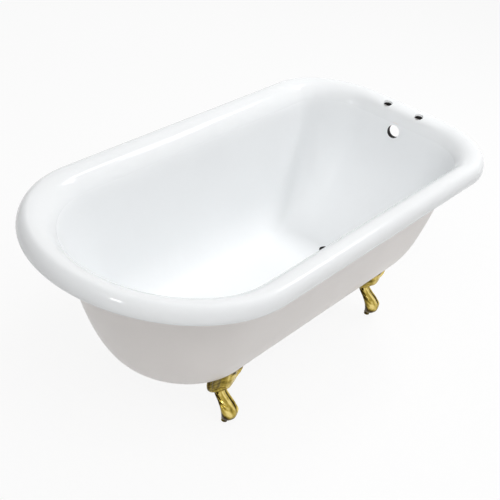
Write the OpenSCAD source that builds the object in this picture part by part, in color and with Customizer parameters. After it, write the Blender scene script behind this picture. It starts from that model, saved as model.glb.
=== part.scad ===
// Free-standing roll-top bathtub of enamelled cast iron on four brass claw feet.
// The origin is on the floor below the middle of the tub. +X points to the flat end with the
// tap holes, +Z points up, and lengths are in millimetres.

/* [Tub] */
// Length over the rolled rim
tub_l = 1676; // [1500:1:1800]
// Width over the rolled rim
tub_w = 762; // [720:1:820]
// Height of the rim's crown above the floor
tub_h = 605; // [590:1:625]
// Radius of the rim's two corners at the flat end
corner_r = 258; // [220:1:290]
// Thickness of the cast iron
wall = 7; // [5.5:0.5:8]

/* [Rolled rim] */
// Width of the roll outside its crown
roll_out_w = 26; // [22:1:30]
// Drop of the roll from its crown to its widest place
roll_drop = 37; // [32:1:42]
// Depth of the lip's lower edge below the crown
lip_drop = 48; // [46:1:56]
// Distance that the lip's lower edge curls back in
lip_tuck = 6; // [3:0.5:8]
// Width of the shoulder from the crown to the basin's wall
shoulder_w = 60; // [55:1:66]
// Depth over which the shoulder turns down
shoulder_d = 70; // [62:1:80]
// Share by which the shoulder is filled out to a level ledge at the tap holes
ledge_fill = 0.6; // [0:0.05:0.8]

/* [Basin] */
// Depth of the basin from the crown to the floor at the drain
basin_depth = 448; // [430:1:460]
// Fall of the floor towards the drain, in millimetres per metre
floor_fall = 8; // [0:0.5:12]
// Lean of the back rest, as run over drop
back_lean = 0.472; // [0.4:0.004:0.5]
// Run of the curve between the back rest and the floor
back_fillet_run = 37; // [30:1:60]
// Height of the curve between the back rest and the floor
back_fillet_rise = 216; // [180:1:320]
// Lean of the flat end's wall, as run over drop
end_lean = 0.085; // [0.04:0.005:0.16]
// Run of the curve between the flat end's wall and the floor
end_fillet_run = 212; // [190:1:240]
// Height of the curve between the flat end's wall and the floor
end_fillet_rise = 282; // [230:1:300]
// Lean of the side walls, as run over drop
side_lean = 0.175; // [0.12:0.005:0.2]
// Run of the curve between a side wall and the floor
side_fillet_run = 55; // [45:1:80]
// Height of the curve between a side wall and the floor
side_fillet_rise = 113; // [95:1:140]
// Radius of the floor's two corners at the flat end
floor_corner_r = 88; // [80:1:130]

/* [Holes] */
// Radius of the drain hole
drain_r = 26; // [20:0.5:30]
// Distance of the drain's centre from the rim's flat end
drain_in = 354; // [345:1:385]
// Radius of the boss round the drain, on the underside
drain_boss_r = 39; // [36:1:45]
// Height of the drain's boss below the floor
drain_boss_h = 8; // [4:1:12]
// Radius of the overflow hole
overflow_r = 22; // [18:0.5:28]
// Depth of the overflow's centre below the crown
overflow_drop = 77; // [74:1:90]
// Radius of the boss round the overflow, outside
overflow_boss_r = 31; // [29:1:37]
// Least length of the overflow's boss outside the wall
overflow_boss_h = 3; // [2:1:6]
// Radius of the two tap holes
tap_r = 14; // [11:0.5:15]
// Distance between the two tap holes
tap_spacing = 120; // [100:1:180]
// Distance of the tap holes from the rim's outer edge
tap_in = 58; // [46:1:60]

/* [Claw feet] */
// Distance of the back feet's screws from the rim's round end
back_foot_in = 526; // [500:1:550]
// Distance of the tap feet's screws from the rim's flat end
tap_foot_in = 339; // [330:1:370]
// Distance of the screws outside the flat part of the tub's underside
foot_out = 39; // [36:0.5:44]
// Distance by which the tap feet stand nearer the middle, where the underside narrows
tap_foot_tuck = 10; // [6:1:14]
// Distance by which the foot's knee stands out past its neck
foot_sweep = 46; // [38:1:50]
// Width of the leg at the knee, along the tub
leg_w = 58; // [50:1:64]
// Thickness of the leg at the knee, across the tub
leg_d = 46; // [40:1:50]
// Span of the foot's two wings, along the tub
wing_w = 172; // [150:1:185]
// Thickness of the wings, across the tub
wing_d = 36; // [32:1:38]
// Distance by which the wings' tips curl in towards the tub
wing_curl = 5; // [2:1:8]
// Distance by which the tap feet's wings stand further out than the back feet's
tap_wing_out = 7; // [0:1:10]
// Distance by which the tap feet's wings turn out at their tips nearest the flat end
tap_wing_turn = 5; // [0:1:10]
// Depth of the hollows between the neck and the wings' tips
wing_dish = 8; // [0:1:10]
// Distance by which the neck stands out in front of the wings
neck_out = 4; // [0:0.5:6]
// Depth of the carved relief on the leg
relief = 3; // [1:0.25:4]
// Height of the foot's sole above the floor
sole_z = 12; // [11:0.5:16]
// Gap left between the foot and the tub's underside
seat_gap = 0.6; // [0.4:0.1:0.9]

/* [Fasteners] */
// Radius of the stud that hangs each foot
stud_r = 5; // [4:0.5:6]
// Distance of the stud inside the screw's axis
stud_in = 68; // [66:1:70]
// Thickness of the shelf that the stud passes through
shelf_t = 12; // [8:1:14]
// Half of the shelf's width
shelf_r = 18; // [16:1:20]
// Height of the shelf's top below the lowest part of the tub's underside
shelf_drop = 5; // [3:1:8]
// Radius of the lug on the tub above each shelf
lug_r = 13; // [11:0.5:14]
// Depth of the stud's hole in the lug
stud_embed = 9; // [6:1:11]
// Thickness of the washers
washer_t = 2; // [1.5:0.5:3]
// Outer radius of the washers
washer_r = 10.5; // [10:0.5:11.5]
// Height of the nuts on the studs
nut_h = 8; // [6:0.5:9]
// Width of those nuts across their flats
nut_af = 17; // [14:0.5:18]
// Length of the stud below its nut
stud_tail = 4; // [2:1:8]
// Radius of the levelling screw
screw_r = 6; // [5:0.5:6.5]
// Length of the levelling screw above its pad
screw_l = 42; // [36:1:48]
// Radius of the pad under the levelling screw
pad_r = 9; // [8:0.5:12]
// Thickness of the pad
pad_h = 4; // [3:0.5:4.5]
// Height of the lock nut on the levelling screw
lock_nut_h = 6; // [5:0.5:6]
// Width of the lock nut across its flats
lock_nut_af = 17; // [15:0.5:20]

/* [Hidden] */

// Clearance of a bolt in a through hole, and of a screw that runs in its bore
hole_gap = 0.5;
running_gap = 0.05;
bore_fn = 64;
// Room above the levelling screw's tip when it is turned right in
screw_room = 6;

// Counts of points round one level of the tub
back_n = 28;
corner_n = 9;
side_n = 4;
end_n = 5;

// Half of the flat part of the underside, across the tub
bottom_half_w = tub_w/2 - roll_out_w - shoulder_w - side_lean*basin_depth - side_fillet_run;
function foot_y(fx) = bottom_half_w + foot_out - (fx > 0 ? tap_foot_tuck : 0);
function stud_y(fx) = foot_y(fx) - stud_in;
back_foot_x = -tub_l/2 + back_foot_in;
tap_foot_x = tub_l/2 - tap_foot_in;
drain_x = tub_l/2 - drain_in;
shelf_top = tub_h - basin_depth - wall - shelf_drop;
nut_top = shelf_top - shelf_t - washer_t;

// Part of a quarter circle: 0 at the start of a curve, and 1 where it is level
function curve(v) = v <= 0 ? 0 : v >= 1 ? 1 : 1 - sqrt(1 - v*v);
// Smooth step from 0 to 1
function ease(v) = let(c = min(max(v, 0), 1)) c*c*(3 - 2*c);
// Part of the shoulder's width that is covered at a share v of its depth
function shoulder(v) = v >= 1 ? 1 : sqrt(1 - pow(1 - v, 2));

// Distance of a wall's surface inside the rim's outer edge, at depth d below the crown. The inner
// surface has a skin of 0. The outer surface has a skin of the wall's thickness, and meets the
// inner one's plan again where its deeper curve ends.
function wall_in(d, lean, run, rise, skin) =
  roll_out_w + (shoulder_w - skin)*shoulder((d - skin)/(shoulder_d - skin)) + lean*d
  + (run + skin)*curve((d - (basin_depth + skin - rise))/rise);

// The plan of one level as [back x, flat end x, half width, corner radius, depth, skin]
function wall_plan(d, skin) =
  let(
    back_in = wall_in(d, back_lean, back_fillet_run, back_fillet_rise, skin),
    end_in = wall_in(d, end_lean, end_fillet_run, end_fillet_rise, skin),
    side_in = wall_in(d, side_lean, side_fillet_run, side_fillet_rise, skin),
    share = d/(basin_depth + skin),
    top_r = corner_r - roll_out_w - (shoulder_w - skin)*shoulder((d - skin)/(shoulder_d - skin))
  )
  [-tub_l/2 + back_in, tub_l/2 - end_in, tub_w/2 - side_in,
    top_r*(1 - share) + floor_corner_r*share, d, skin];

// The plan of a level of the roll, which keeps one distance from the rim's outer edge
function roll_plan(inset, d) = [-tub_l/2 + inset, tub_l/2 - inset, tub_w/2 - inset, corner_r - inset, d, d];

// How much of the tap ledge a place has: all of it along the flat end, none past the corners
function ledge(x, y) =
  ledge_fill*ease((x - (tub_l/2 - roll_out_w - shoulder_w - 40))/40)
  *(1 - ease((abs(y) - (tub_w/2 - corner_r) + 20)/80));

// Height of a surface point at depth d: the floor falls to the drain, and the ledge is filled out
function level_z(x, y, d, skin) =
  tub_h - d
  + ledge(x, y)*(d - skin)*max(0, 1 - (d - skin)/(shoulder_d - skin))
  + floor_fall*(drain_x - x)/1000*pow(d/basin_depth, 2);

// The points of one level, anticlockwise from above: round end, side, corner, flat end, corner, side
function level_points(plan) =
  let(
    xb = plan[0] + plan[2], xf = plan[1] - plan[3], w = plan[2], r = plan[3], ye = plan[2] - plan[3],
    flat = concat(
      [for (i = [0:back_n]) let(a = 90 + 180*i/back_n) [xb + w*cos(a), w*sin(a)]],
      [for (i = [1:side_n]) [xb + (xf - xb)*i/(side_n + 1), -w]],
      [for (i = [0:corner_n]) let(a = -90 + 90*i/corner_n) [xf + r*cos(a), -ye + r*sin(a)]],
      [for (i = [1:end_n]) [plan[1], -ye + 2*ye*i/(end_n + 1)]],
      [for (i = [0:corner_n]) let(a = 90*i/corner_n) [xf + r*cos(a), ye + r*sin(a)]],
      [for (i = [1:side_n]) [xf + (xb - xf)*i/(side_n + 1), w]]
    )
  )
  [for (p = flat) [p[0], p[1], level_z(p[0], p[1], plan[4], plan[5])]];

// Triangles between stacked rings of n points, where the first and last rings close on two middle
// points that come after all the rings
function ring_faces(rings, n) = concat(
  [for (i = [0:n - 1]) [i, (i + 1)%n, rings*n]],
  [for (k = [0:rings - 2], i = [0:n - 1], h = [0, 1])
    let(a = k*n + i, b = k*n + (i + 1)%n)
    h == 0 ? [a, a + n, b] : [b, a + n, b + n]],
  [for (i = [0:n - 1]) let(top = (rings - 1)*n) [top + (i + 1)%n, top + i, rings*n + 1]]
);

// The shell's levels, from the basin's floor up its wall, over the roll and down the outside
inner_curve = [for (a = [90, 78, 66, 53, 39, 22, 0]) basin_depth - side_fillet_rise*(1 - sin(a))];
inner_straight = [for (i = [1:5]) inner_curve[6] + (shoulder_d - inner_curve[6])*i/5];
outer_curve = [for (a = [0, 22, 39, 53, 66, 78, 90]) basin_depth + wall - side_fillet_rise*(1 - sin(a))];
outer_straight = [for (i = [0:3]) shoulder_d + (outer_curve[0] - shoulder_d)*i/4];
roll_bore = roll_out_w - wall;
roll_bore_drop = roll_drop - wall;
shell_plans = concat(
  [for (d = inner_curve) wall_plan(d, 0)],
  [for (d = inner_straight) wall_plan(d, 0)],
  [for (a = [75:-15:0]) wall_plan(shoulder_d*(1 - cos(a)), 0)],
  [for (a = [18:18:90]) roll_plan(roll_out_w*(1 - sin(a)), roll_drop*(1 - cos(a)))],
  [for (a = [45, 90]) roll_plan(lip_tuck*(1 - cos(a)), roll_drop + (lip_drop - roll_drop)*sin(a))],
  [roll_plan(lip_tuck + wall, lip_drop)],
  [for (a = [90:-30:0]) roll_plan(roll_out_w - roll_bore*sin(a), wall + roll_bore_drop*(1 - cos(a)))],
  [for (a = [25, 50, 75]) wall_plan(wall + (shoulder_d - wall)*(1 - cos(a)), wall)],
  [for (d = outer_straight) wall_plan(d, wall)],
  [for (d = outer_curve) wall_plan(d, wall)]
);

// Whether a place seen from above lies inside a level of the outer wall
function in_plan(x, y, plan) =
  let(xb = plan[0] + plan[2], xf = plan[1] - plan[3], ye = plan[2] - plan[3])
  x < xb ? norm([x - xb, y]) < plan[2]
  : x > xf && abs(y) > ye ? norm([x - xf, abs(y) - ye]) < plan[3]
  : x < plan[1] && abs(y) < plan[2];

// Depth of the tub's outer surface above a place, found by halving
function outer_depth(x, y, low, high, n) =
  let(mid = (low + high)/2)
  n == 0 ? mid
  : in_plan(x, y, wall_plan(mid, wall)) ? outer_depth(x, y, mid, high, n - 1)
  : outer_depth(x, y, low, mid, n - 1);
function under_z(x, y) = level_z(x, y, outer_depth(x, y, shoulder_d, basin_depth + wall, 16), wall);

// Smooth curve through the rows of a table, at the share t of its length
function spline_at(rows, t) =
  let(
    last = len(rows) - 1, q = min(max(t, 0), 0.9999)*last, i = floor(q), f = q - i,
    a = rows[max(i - 1, 0)], b = rows[i], c = rows[i + 1], d = rows[min(i + 2, last)]
  )
  b + f*((c - a)/2 + f*((a - 2.5*b + 2*c - d/2) + f*((d - a)/2 + 1.5*(b - c))));

// The foot's sections from its sole to its wings: [share of the height, place out from the screw as
// a share of the sweep, half width along the tub, half thickness across it, share of the seat's shape,
// roundness from 1 for an ellipse to 0 for a box]
foot_rows = [
  [0.000, 0.05, 0.20*leg_w, 0.24*leg_d, 0, 1],
  [0.046, 0.17, 0.33*leg_w, 0.35*leg_d, 0, 1],
  [0.122, 0.24, 0.43*leg_w, 0.44*leg_d, 0, 1],
  [0.224, 0.18, 0.48*leg_w, 0.49*leg_d, 0, 1],
  [0.327, -0.06, 0.46*leg_w, 0.46*leg_d, 0, 1],
  [0.429, -0.47, 0.43*leg_w, 0.42*leg_d, 0, 1],
  [0.517, -0.75, 0.39*leg_w, 0.36*leg_d, 0, 1],
  [0.600, -0.82, 0.35*leg_w, 0.33*leg_d, 0, 1],
  [0.640, -0.70, 0.16*wing_w, 0.40*wing_d, 0, 0.95],
  [0.680, -0.59, 0.29*wing_w, 0.44*wing_d, 0, 0.9],
  [0.748, -0.52, 0.39*wing_w, 0.44*wing_d, 0.05, 0.85],
  [0.830, -0.49, 0.45*wing_w, 0.44*wing_d, 0.25, 0.85],
  [0.925, -0.48, 0.485*wing_w, 0.44*wing_d, 0.65, 0.85],
  [1.000, -0.48, 0.49*wing_w, 0.44*wing_d, 1, 0.85]
];
foot_ring_n = 27;
foot_point_n = 36;
// Rings of the seat on top of the foot, as shares of its outline
seat_rings = [0.7, 0.35];

// Angle of a point round the leg, from straight out: the points crowd together at the front
function leg_angle(i) = let(q = 360*i/foot_point_n) q - 32*sin(q);

// Carving of the leg at height share v: a ridge down the front with a groove on each side, and a
// leaf's edge beyond each groove. It fades out at the knee and the neck.
function carving(a, v) =
  let(
    s = a > 180 ? a - 360 : a,
    fade = ease((v - 0.16)/0.1)*(1 - ease((v - 0.5)/0.08)),
    ridge = exp(-pow(s/8, 2)),
    groove = exp(-pow((abs(s) - 22)/6.5, 2)),
    leaf = exp(-pow((abs(s) - 44)/11, 2))
  )
  relief*fade*(0.5*ridge - groove + 0.6*leaf);

// The collar round the neck
function collar(v) = 0.6*relief*ease((v - 0.56)/0.02)*(1 - ease((v - 0.615)/0.02));

// How far the neck stands out in front of the wings, less the hollow between it and each wing's tip
function neck_and_dish(a, v) =
  let(s = a > 180 ? a - 360 : a)
  neck_out*exp(-pow(s/11, 2))*ease((v - 0.6)/0.06)*(1 - ease((v - 0.84)/0.12))
  - wing_dish*ease((v - 0.69)/0.07)*ease((abs(s) - 12)/12)*(1 - ease((abs(s) - 48)/18));

function boxed(v, round) = sign(v)*pow(abs(v), round);

// A point of the foot of the near side: t runs up the foot, and shrink draws the seat's rings in
function foot_point(fx, i, t, shrink) =
  let(
    row = spline_at(foot_rows, t),
    a = leg_angle(i),
    cut = carving(a, row[0]) + collar(row[0]),
    side = boxed(sin(a), row[5])*shrink,
    wing = ease((row[0] - 0.6)/0.15),
    curl = wing_curl*wing*side*side - (fx > 0 ? wing*(tap_wing_out + tap_wing_turn*side) : 0),
    relief_out = cut*boxed(cos(a), row[5]) + neck_and_dish(a, row[0]),
    out = foot_sweep*row[1] + (row[3]*boxed(cos(a), row[5]) + relief_out)*shrink - curl,
    x = fx + (row[2] + cut)*side,
    y = -(foot_y(fx) + out),
    height = nominal_top - sole_z,
    share = max(row[4], 0)
  )
  [x, y, (1 - share)*(sole_z + height*row[0])
    + (share > 0 ? share*(under_z(x, y) - seat_gap - height*(1 - row[0])) : 0)];
nominal_top = tub_h - basin_depth - wall + 9;

function foot_points(fx) = concat(
  [for (k = [0:foot_ring_n - 1], i = [0:foot_point_n - 1]) foot_point(fx, i, k/(foot_ring_n - 1), 1)],
  [for (s = seat_rings, i = [0:foot_point_n - 1]) foot_point(fx, i, 1, s)],
  [foot_point(fx, 0, 1, 0)]
);
foot_rings = foot_ring_n + len(seat_rings);
foot_faces = concat(
  [[for (i = [0:foot_point_n - 1]) i]],
  [for (k = [0:foot_rings - 2], i = [0:foot_point_n - 1], h = [0, 1])
    let(a = k*foot_point_n + i, b = k*foot_point_n + (i + 1)%foot_point_n)
    h == 0 ? [a, a + foot_point_n, b] : [b, a + foot_point_n, b + foot_point_n]],
  [for (i = [0:foot_point_n - 1])
    let(top = (foot_rings - 1)*foot_point_n)
    [top + i, foot_rings*foot_point_n, top + (i + 1)%foot_point_n]]
);

// A lug on the underside, level below and shaped to the middle of the casting's wall above
module lug(fx, side) {
  lug_n = 24;
  ring = [for (i = [0:lug_n - 1]) [fx + lug_r*cos(360*i/lug_n), side*stud_y(fx) + lug_r*sin(360*i/lug_n)]];
  polyhedron(
    points = concat(
      [for (p = ring) [p[0], p[1], shelf_top]],
      [for (p = ring) [p[0], p[1], under_z(p[0], p[1]) + wall/2]],
      [[fx, side*stud_y(fx), under_z(fx, side*stud_y(fx)) + wall/2]]
    ),
    faces = concat(
      [[for (i = [0:lug_n - 1]) i]],
      [for (i = [0:lug_n - 1]) [i, i + lug_n, (i + 1)%lug_n + lug_n]],
      [for (i = [0:lug_n - 1]) [i, (i + 1)%lug_n + lug_n, (i + 1)%lug_n]],
      [for (i = [0:lug_n - 1]) [i + lug_n, 2*lug_n, (i + 1)%lug_n + lug_n]]
    )
  );
}

// The boss round the overflow, flat outside and shaped to the middle of the end wall inside
module overflow_boss(face_x) {
  boss_n = 32;
  ring = [for (i = [0:boss_n - 1])
    [overflow_boss_r*cos(360*i/boss_n), overflow_drop - overflow_boss_r*sin(360*i/boss_n)]];
  polyhedron(
    points = concat(
      [for (p = ring) [wall_plan(p[1], wall)[1] - wall/2, p[0], tub_h - p[1]]],
      [for (p = ring) [face_x, p[0], tub_h - p[1]]],
      [[wall_plan(overflow_drop, wall)[1] - wall/2, 0, tub_h - overflow_drop]],
      [[face_x, 0, tub_h - overflow_drop]]
    ),
    faces = concat(
      [for (i = [0:boss_n - 1]) [i, (i + 1)%boss_n, 2*boss_n]],
      [for (i = [0:boss_n - 1]) [i, i + boss_n, (i + 1)%boss_n + boss_n]],
      [for (i = [0:boss_n - 1]) [i, (i + 1)%boss_n + boss_n, (i + 1)%boss_n]],
      [for (i = [0:boss_n - 1]) [i + boss_n, 2*boss_n + 1, (i + 1)%boss_n + boss_n]]
    )
  );
}

// Puts a piece drawn for the near side at one of the four corners
module at_corner(fx, side) {
  translate([fx, 0, 0]) mirror([0, side > 0 ? 1 : 0, 0]) children();
}

module tub_shell() {
  n = back_n + 2*corner_n + 2*side_n + end_n + 3;
  over_face = wall_plan(overflow_drop - overflow_boss_r, wall)[1] + overflow_boss_h;
  drain_face = tub_h - basin_depth - wall - drain_boss_h;
  color("white")
  difference() {
    union() {
      polyhedron(
        points = concat(
          [for (k = [len(shell_plans) - 1:-1:0]) each level_points(shell_plans[k])],
          [[0, 0, level_z(0, 0, basin_depth + wall, wall)], [0, 0, level_z(0, 0, basin_depth, 0)]]
        ),
        faces = ring_faces(len(shell_plans), n)
      );
      for (fx = [back_foot_x, tap_foot_x], side = [-1, 1]) lug(fx, side);
      translate([drain_x, 0, drain_face])
        cylinder(r = drain_boss_r, h = drain_boss_h + wall/2, $fn = bore_fn);
      overflow_boss(over_face);
    }
    translate([drain_x, 0, drain_face - 1])
      cylinder(r = drain_r, h = drain_boss_h + 3*wall, $fn = bore_fn);
    translate([over_face - 6*wall, 0, tub_h - overflow_drop])
      rotate([0, 90, 0]) cylinder(r = overflow_r, h = 6*wall + 1, $fn = bore_fn);
    for (side = [-1, 1])
      translate([tub_l/2 - tap_in, side*tap_spacing/2, tub_h - 6*wall])
        cylinder(r = tap_r, h = 7*wall, $fn = bore_fn);
    for (fx = [back_foot_x, tap_foot_x], side = [-1, 1])
      translate([fx, side*stud_y(fx), shelf_top - 1])
        cylinder(r = stud_r + running_gap, h = stud_embed + 1, $fn = bore_fn);
  }
}

// The foot: a winged seat under the tub, a shelf for the stud, and a cabriole leg with a bore
module claw_foot(fx, side) {
  shelf_out = foot_y(fx) - 0.6*foot_sweep;
  screw_top = pad_h + screw_l + screw_room;
  color("goldenrod")
  mirror([0, side > 0 ? 1 : 0, 0])
  difference() {
    union() {
      polyhedron(points = foot_points(fx), faces = foot_faces);
      translate([fx - shelf_r, -shelf_out, shelf_top - shelf_t])
        cube([2*shelf_r, shelf_out - stud_y(fx), shelf_t]);
      translate([fx, -stud_y(fx), shelf_top - shelf_t])
        cylinder(r = shelf_r, h = shelf_t, $fn = bore_fn);
    }
    translate([fx, -stud_y(fx), shelf_top - shelf_t - 1])
      cylinder(r = stud_r + hole_gap, h = shelf_t + 2, $fn = bore_fn);
    translate([fx, -foot_y(fx), sole_z - 1])
      cylinder(r = screw_r + running_gap, h = screw_top - sole_z + 1, $fn = bore_fn);
  }
}

module stud(fx, side) {
  top = shelf_top + stud_embed - running_gap;
  bottom = nut_top - nut_h - stud_tail;
  color("silver")
  at_corner(fx, side)
    translate([0, -stud_y(fx), bottom]) cylinder(r = stud_r, h = top - bottom, $fn = bore_fn);
}

module washer(fx, side) {
  color("silver")
  at_corner(fx, side)
    translate([0, -stud_y(fx), nut_top])
      difference() {
        cylinder(r = washer_r, h = washer_t, $fn = bore_fn);
        translate([0, 0, -1]) cylinder(r = stud_r + running_gap, h = washer_t + 2, $fn = bore_fn);
      }
}

// A hexagon nut with its corners turned off at both faces
module hex_nut(af, h, bore_r) {
  corner = af/2/cos(30);
  chamfer = corner - af/2;
  difference() {
    intersection() {
      cylinder(r = corner, h = h, $fn = 6);
      rotate_extrude($fn = bore_fn)
        polygon([[0, 0], [af/2, 0], [corner, chamfer/2], [corner, h - chamfer/2], [af/2, h], [0, h]]);
    }
    translate([0, 0, -1]) cylinder(r = bore_r, h = h + 2, $fn = bore_fn);
  }
}

module stud_nut(fx, side) {
  color("silver")
  at_corner(fx, side)
    translate([0, -stud_y(fx), nut_top - nut_h]) hex_nut(nut_af, nut_h, stud_r + running_gap);
}

// The levelling screw with its pad, which has a rounded edge
module levelling_screw(fx, side) {
  edge = pad_h/3;
  color("goldenrod")
  at_corner(fx, side)
    translate([0, -foot_y(fx), 0])
      rotate_extrude($fn = bore_fn)
        polygon([
          [0, 0], [pad_r - edge, 0], [pad_r, edge], [pad_r, pad_h - edge], [pad_r - edge, pad_h],
          [screw_r, pad_h], [screw_r, pad_h + screw_l - 1],
          [screw_r - 1, pad_h + screw_l], [0, pad_h + screw_l]
        ]);
}

module lock_nut(fx, side) {
  color("goldenrod")
  at_corner(fx, side)
    translate([0, -foot_y(fx), sole_z - lock_nut_h]) hex_nut(lock_nut_af, lock_nut_h, screw_r + running_gap);
}

tub_shell();
claw_foot(back_foot_x, -1);  // foot_back_right
claw_foot(back_foot_x, 1);  // foot_back_left
claw_foot(tap_foot_x, -1);  // foot_tap_right
claw_foot(tap_foot_x, 1);  // foot_tap_left
stud(back_foot_x, -1);  // stud_back_right
stud(back_foot_x, 1);  // stud_back_left
stud(tap_foot_x, -1);  // stud_tap_right
stud(tap_foot_x, 1);  // stud_tap_left
washer(back_foot_x, -1);  // washer_back_right
washer(back_foot_x, 1);  // washer_back_left
washer(tap_foot_x, -1);  // washer_tap_right
washer(tap_foot_x, 1);  // washer_tap_left
stud_nut(back_foot_x, -1);  // nut_back_right
stud_nut(back_foot_x, 1);  // nut_back_left
stud_nut(tap_foot_x, -1);  // nut_tap_right
stud_nut(tap_foot_x, 1);  // nut_tap_left
levelling_screw(back_foot_x, -1);  // levelling_screw_back_right
levelling_screw(back_foot_x, 1);  // levelling_screw_back_left
levelling_screw(tap_foot_x, -1);  // levelling_screw_tap_right
levelling_screw(tap_foot_x, 1);  // levelling_screw_tap_left
lock_nut(back_foot_x, -1);  // lock_nut_back_right
lock_nut(back_foot_x, 1);  // lock_nut_back_left
lock_nut(tap_foot_x, -1);  // lock_nut_tap_right
lock_nut(tap_foot_x, 1);  // lock_nut_tap_left
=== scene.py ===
"""A white enamelled roll-top bathtub on four brass claw feet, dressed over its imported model."""

import math

import bpy
import numpy as np
from mathutils import Matrix, Vector


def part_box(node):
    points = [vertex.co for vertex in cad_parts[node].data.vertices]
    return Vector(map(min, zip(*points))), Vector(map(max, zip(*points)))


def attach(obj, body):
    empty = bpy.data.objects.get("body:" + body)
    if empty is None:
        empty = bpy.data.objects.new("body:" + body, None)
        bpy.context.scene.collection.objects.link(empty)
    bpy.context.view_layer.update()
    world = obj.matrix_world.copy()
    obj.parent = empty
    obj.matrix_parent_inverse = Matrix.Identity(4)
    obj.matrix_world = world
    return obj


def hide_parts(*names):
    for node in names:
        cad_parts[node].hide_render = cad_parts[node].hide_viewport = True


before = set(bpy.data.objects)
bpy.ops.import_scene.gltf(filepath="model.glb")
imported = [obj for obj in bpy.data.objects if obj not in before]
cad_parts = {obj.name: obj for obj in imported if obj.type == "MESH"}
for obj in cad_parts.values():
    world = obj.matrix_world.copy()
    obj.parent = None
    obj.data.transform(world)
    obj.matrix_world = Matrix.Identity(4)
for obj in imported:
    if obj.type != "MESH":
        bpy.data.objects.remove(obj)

bl_info = {
    "name": "Roll-top Bathtub",
    "version": (1, 0, 0),
    "blender": (4, 5, 0),
    "location": "View3D > Sidebar > Bathtub",
    "description": "Builds the visible bathtub, its claw feet and a small studio round the packed model",
    "category": "Object",
}

CORNERS = ("back_right", "back_left", "tap_right", "tap_left")
TUB_LOW, TUB_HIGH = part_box("tub_shell")
SOLE_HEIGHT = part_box("foot_back_right")[0][2]
# The casting's material slots
ENAMEL, PAINT, BARE_IRON_AND_SHADE = range(3)
# Angles past which an edge stays sharp, on the casting, the feet and the fittings
CASTING_EDGE, FOOT_EDGE, FITTING_EDGE = (math.radians(angle) for angle in (38.0, 50.0, 35.0))
# Sizes of the smaller copies of a ring that close a solid's end, from the middle outwards
CAP_SHARES = (0.3, 0.6, 0.85)
# Tap ledge: its slope into the basin, how far before the corners its side slopes begin, and their length
LEDGE_SLOPES = (0.040, 0.020, 0.080)
# Rounding of the lip's lower edge
LIP_ROUND = 0.0015
# Depths below the crown between which the enamel turns from dull to glossy
GLOSS_DEPTHS = (0.065, 0.020)
# Radii of a lug from its face up to its fillet, its face's drop below the tub, and its sink into the iron
LUG_RADII = (0.0125, 0.013, 0.013, 0.0145)
LUG_DROP = 0.005
LUG_SINK = 0.0015
# Rounding of the enamel over the drain's edge
DRAIN_ROUND = 0.0025
# Height of a foot's top above the underside's lowest place, and the shares by which it closes in there
SEAT_RISE = 0.009
SEAT_CLOSING = (0.85, 0.6, 0.35, 0.15, 0.04)
# Turn by which a foot's points crowd towards its front
FRONT_CROWDING = math.radians(32.0)
# Height of a screw's pad, radius of its shaft as a share of the pad's, and gap round a rod in a nut or washer
PAD_HEIGHT = 0.004
SHAFT_SHARE = 2.0/3.0
ROD_GAP = 0.00005
# Spread and shift of the fine cloud that mottles the brass
BRASS_CLOUD = (1.1, -0.53)
WHITE = (1.0, 1.0, 1.0, 1.0)
# Half the floor's width, its colour, and the share of plain white in it as the camera sees it
FLOOR_HALF = 12.0
FLOOR_COLOUR = (0.90, 0.90, 0.90, 1.0)
FLOOR_WHITE = 0.90


# Sizes and colours

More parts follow.
